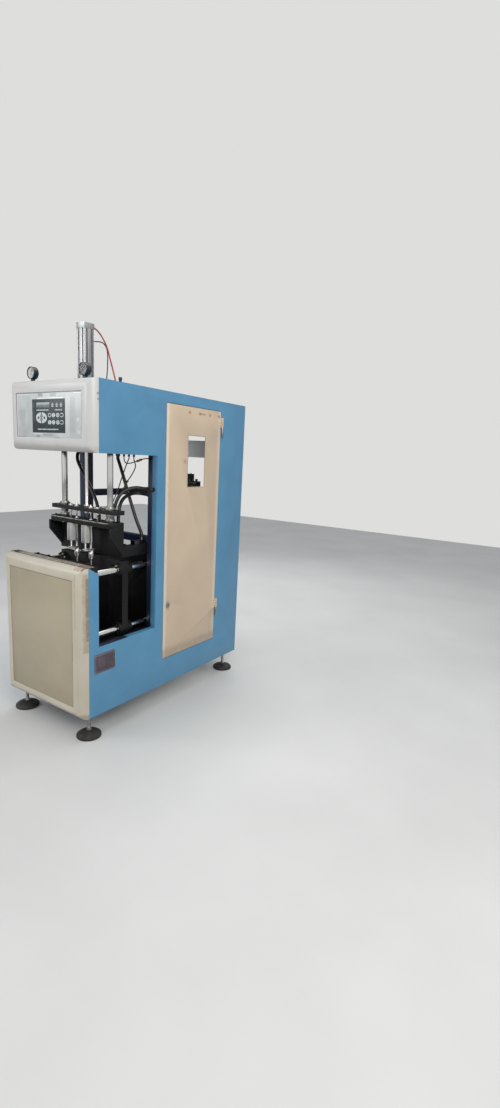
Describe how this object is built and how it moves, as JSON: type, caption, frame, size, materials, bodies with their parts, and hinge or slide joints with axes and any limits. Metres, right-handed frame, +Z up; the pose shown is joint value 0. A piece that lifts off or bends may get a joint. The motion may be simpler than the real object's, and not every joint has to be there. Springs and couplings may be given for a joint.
{
  "type": "stretch blow moulding machine",
  "caption": "Semi-automatic stretch blow moulding machine: tall C-shaped cabinet in blue and cream, open mould station, stretch crosshead on guide rods and an air cylinder on top.",
  "frame": {"origin": "on the floor, under the middle of the machine", "axes": "X to the right seen from the front, Y to the back, Z up"},
  "size_m": [0.6806, 1.362, 2.165],
  "materials": {
    "blue_paint": "satin",
    "frame_paint": "semi-matte",
    "head_paint": "satin",
    "head_face_paint": "satin",
    "base_paint": "satin",
    "base_face_paint": "satin",
    "worn_paint": "worn",
    "door_paint": "satin",
    "keypad_film": "matte",
    "grey_paint": "satin",
    "filter_paint": "satin",
    "foot_rubber": "matte",
    "zinc_steel": "zinc plated",
    "bare_plate": "brushed",
    "black_paint": "satin, worn edges",
    "hard_chrome": "polished",
    "stainless": "turned",
    "aluminium": "anodised",
    "bronze": "machined",
    "gauge_paint": "satin",
    "dial_face": "matte",
    "clear_glass": "clear",
    "pointer_black": "matte",
    "valve_plastic": "moulded",
    "fitting_metal": "blackened",
    "hose_rubber": "smooth",
    "tube_plastic": "smooth",
    "red_plastic": "smooth"
  },
  "bodies": {
    "machine": {"side_panel_right": "blue_paint", "side_panel_left": "blue_paint", "top_cover": "blue_paint", "frame_posts": "frame_paint", "frame_side_rails": "frame_paint", "frame_cross_rails": "frame_paint", "head_surround": "head_paint", "head_panel": "head_face_paint", "base_surround": "base_paint", "base_panel": "base_face_paint", "base_top_strip": "worn_paint", "control_overlay": "keypad_film", "control_unit": "grey_paint", "power_box": "grey_paint", "air_filter": "filter_paint", "foot_pads": "foot_rubber", "foot_stems": "zinc_steel", "rod_nuts": "zinc_steel", "clamp_cylinder_rods": "zinc_steel", "hinge_leaves": "zinc_steel", "name_plate": "bare_plate", "front_platen": "black_paint", "rear_platen": "black_paint", "drip_tray": "black_paint", "support_beams": "black_paint", "seal_bracket": "black_paint", "bracket_legs": "black_paint", "head_plate": "black_paint", "equipment_shelf": "black_paint", "tie_bars": "hard_chrome", "guide_rods": "hard_chrome", "stretch_cylinder_tube": "aluminium", "stretch_cylinder_caps": "aluminium", "seal_cylinders": "aluminium", "clamp_cylinder_tube": "aluminium", "clamp_cylinder_caps": "aluminium", "valve_block": "aluminium", "head_manifold": "aluminium", "rod_bushes": "bronze", "gauge_cases": "gauge_paint", "gauge_dials": "dial_face", "gauge_glasses": "clear_glass", "solenoid_valves": "valve_plastic", "hose_fittings": "fitting_metal", "air_hoses": "hose_rubber", "thin_tubes": "tube_plastic", "red_tube": "red_plastic"},
    "crosshead": {"crosshead": "black_paint", "crosshead_bushes": "bronze", "piston_rod": "hard_chrome", "stretch_rods": "stainless"},
    "nozzle_left": {"blow_nozzle_left": "stainless"},
    "nozzle_right": {"blow_nozzle_right": "stainless"},
    "clamp": {"moving_platen": "black_paint", "platen_bushes": "bronze", "clamp_rod": "hard_chrome"},
    "door": {"door": "door_paint"},
    "door_lock": {"door_lock": "zinc_steel"},
    "pointer_left": {"pointer_left": "pointer_black"},
    "pointer_right": {"pointer_right": "pointer_black"}
  },
  "joints": [
    {"name": "stretch_slide", "type": "slide", "parent": "machine", "child": "crosshead", "axis": [0, 0, 1], "range_m": [0, 0.35]},
    {"name": "nozzle_left_slide", "type": "slide", "parent": "machine", "child": "nozzle_left", "axis": [0, 0, 1], "range_m": [0, 0.03]},
    {"name": "nozzle_right_slide", "type": "slide", "parent": "machine", "child": "nozzle_right", "axis": [0, 0, 1], "range_m": [0, 0.03]},
    {"name": "clamp_slide", "type": "slide", "parent": "machine", "child": "clamp", "axis": [0, 1, 0], "range_m": [0, 0.11]},
    {"name": "door_hinge", "type": "hinge", "parent": "machine", "child": "door", "pos_m": [0.3343, 0.424, 1.04], "axis": [0, 0, 1], "range_deg": [0, 120]},
    {"name": "door_lock_turn", "type": "hinge", "parent": "door", "child": "door_lock", "pos_m": [0.328, -0.048, 0.62], "axis": [1, 0, 0], "range_deg": [0, 90]},
    {"name": "gauge_left_turn", "type": "hinge", "parent": "machine", "child": "pointer_left", "pos_m": [-0.209, -0.544, 1.896], "axis": [0, 1, 0], "range_deg": [0, 270]},
    {"name": "gauge_right_turn", "type": "hinge", "parent": "machine", "child": "pointer_right", "pos_m": [0.209, -0.544, 1.896], "axis": [0, 1, 0], "range_deg": [0, 270]}
  ],
  "couplings": [
    {"joint": "nozzle_right_slide", "follows": "nozzle_left_slide", "ratio": 1}
  ]
}
